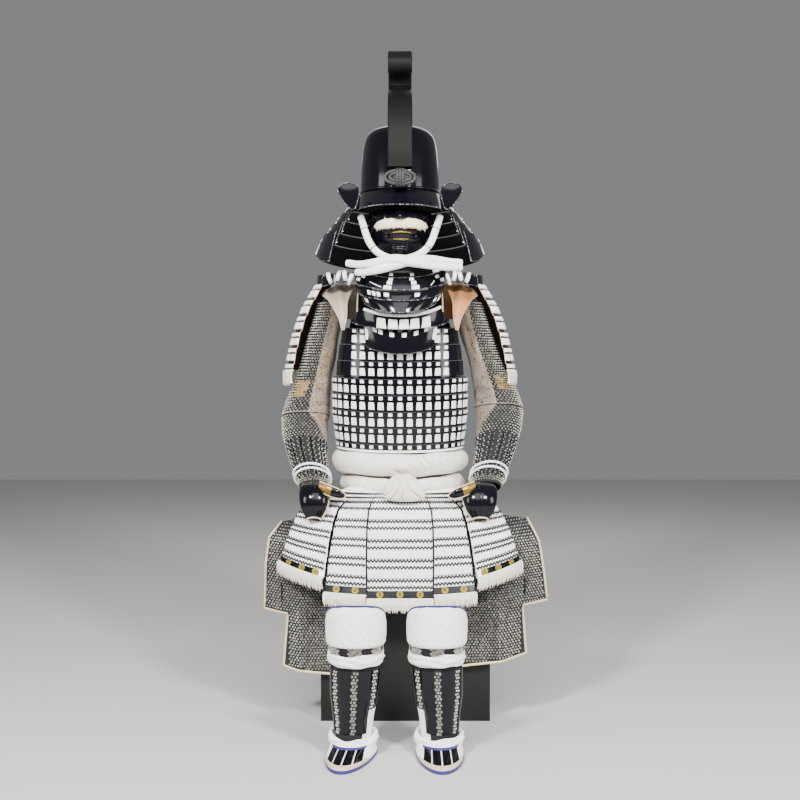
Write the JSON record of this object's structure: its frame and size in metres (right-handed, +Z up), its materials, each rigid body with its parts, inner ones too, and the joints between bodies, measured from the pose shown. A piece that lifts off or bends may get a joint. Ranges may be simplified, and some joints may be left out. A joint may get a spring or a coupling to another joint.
{
  "type": "samurai armour on its armour chest stand",
  "caption": "Seated samurai armour in black lacquer with white lacing, a tall crested helmet, mask, mail sleeves and apron, displayed on its black armour chest with a plain post stand.",
  "frame": {"origin": "on the underside of the armour chest, straight below the axis of the cuirass and the post", "axes": "+Z up, -Y the front of the armour, +X the viewer's right"},
  "size_m": [0.747, 0.855, 1.7484],
  "materials": {
    "black_lacquer": "high-gloss black lacquer",
    "white_lacing": "flat braided silk",
    "ivory_hair": "short combed hair",
    "white_cord": "soft braided cotton",
    "white_cotton": "quilted cotton",
    "mail_on_cloth": "steel mail sewn on black cloth",
    "sleeve_brocade": "figured brocade",
    "sash_brocade": "figured brocade",
    "bronze_satin": "satin weave",
    "chest_lacquer": "satin black",
    "stand_wood": "dark stained"
  },
  "bodies": {
    "root": {"helmet_bowl": "black_lacquer", "helmet_brim": "black_lacquer", "crest": "black_lacquer", "crest_knot": "black_lacquer", "mask": "black_lacquer", "throat_upper": "black_lacquer", "throat_lower": "black_lacquer", "collar_plate": "black_lacquer", "collar_crescent": "black_lacquer", "neck_guard_1": "black_lacquer", "neck_guard_2": "black_lacquer", "neck_guard_3": "black_lacquer", "neck_guard_4": "black_lacquer", "neck_guard_5": "black_lacquer", "turn_back_left": "black_lacquer", "turn_back_right": "black_lacquer", "shoulder_strap_left": "black_lacquer", "shoulder_strap_right": "black_lacquer", "hand_guard_left": "black_lacquer", "hand_guard_right": "black_lacquer", "cuirass_front_waist": "white_lacing", "cuirass_back_waist": "white_lacing", "cuirass_front_chest": "white_lacing", "cuirass_back_chest": "white_lacing", "tasset_front": "white_lacing", "tasset_front_left": "white_lacing", "tasset_front_right": "white_lacing", "tasset_side_left": "white_lacing", "tasset_side_right": "white_lacing", "tasset_back_left": "white_lacing", "tasset_back_right": "white_lacing", "shoulder_shield_left": "white_lacing", "shoulder_shield_right": "white_lacing", "moustache": "ivory_hair", "chin_cord": "white_cord", "chin_bow": "white_cord", "knee_tie_left": "white_cord", "knee_tie_right": "white_cord", "ankle_tie_left": "white_cord", "ankle_tie_right": "white_cord", "knee_pad_left": "white_cotton", "knee_pad_right": "white_cotton", "foot_cover_left": "white_cotton", "foot_cover_right": "white_cotton", "thigh_apron_left": "mail_on_cloth", "thigh_apron_right": "mail_on_cloth", "sleeve_forearm_left": "mail_on_cloth", "sleeve_forearm_right": "mail_on_cloth", "shin_guard_left": "mail_on_cloth", "shin_guard_right": "mail_on_cloth", "sleeve_upper_left": "sleeve_brocade", "sleeve_upper_right": "sleeve_brocade", "sash_upper": "sash_brocade", "sash_lower": "sash_brocade", "sash_knot": "sash_brocade", "shoulder_cloth_left": "bronze_satin", "shoulder_cloth_right": "bronze_satin", "chest_body": "chest_lacquer", "chest_lid": "chest_lacquer", "stand_post": "stand_wood"}
  },
  "joints": []
}
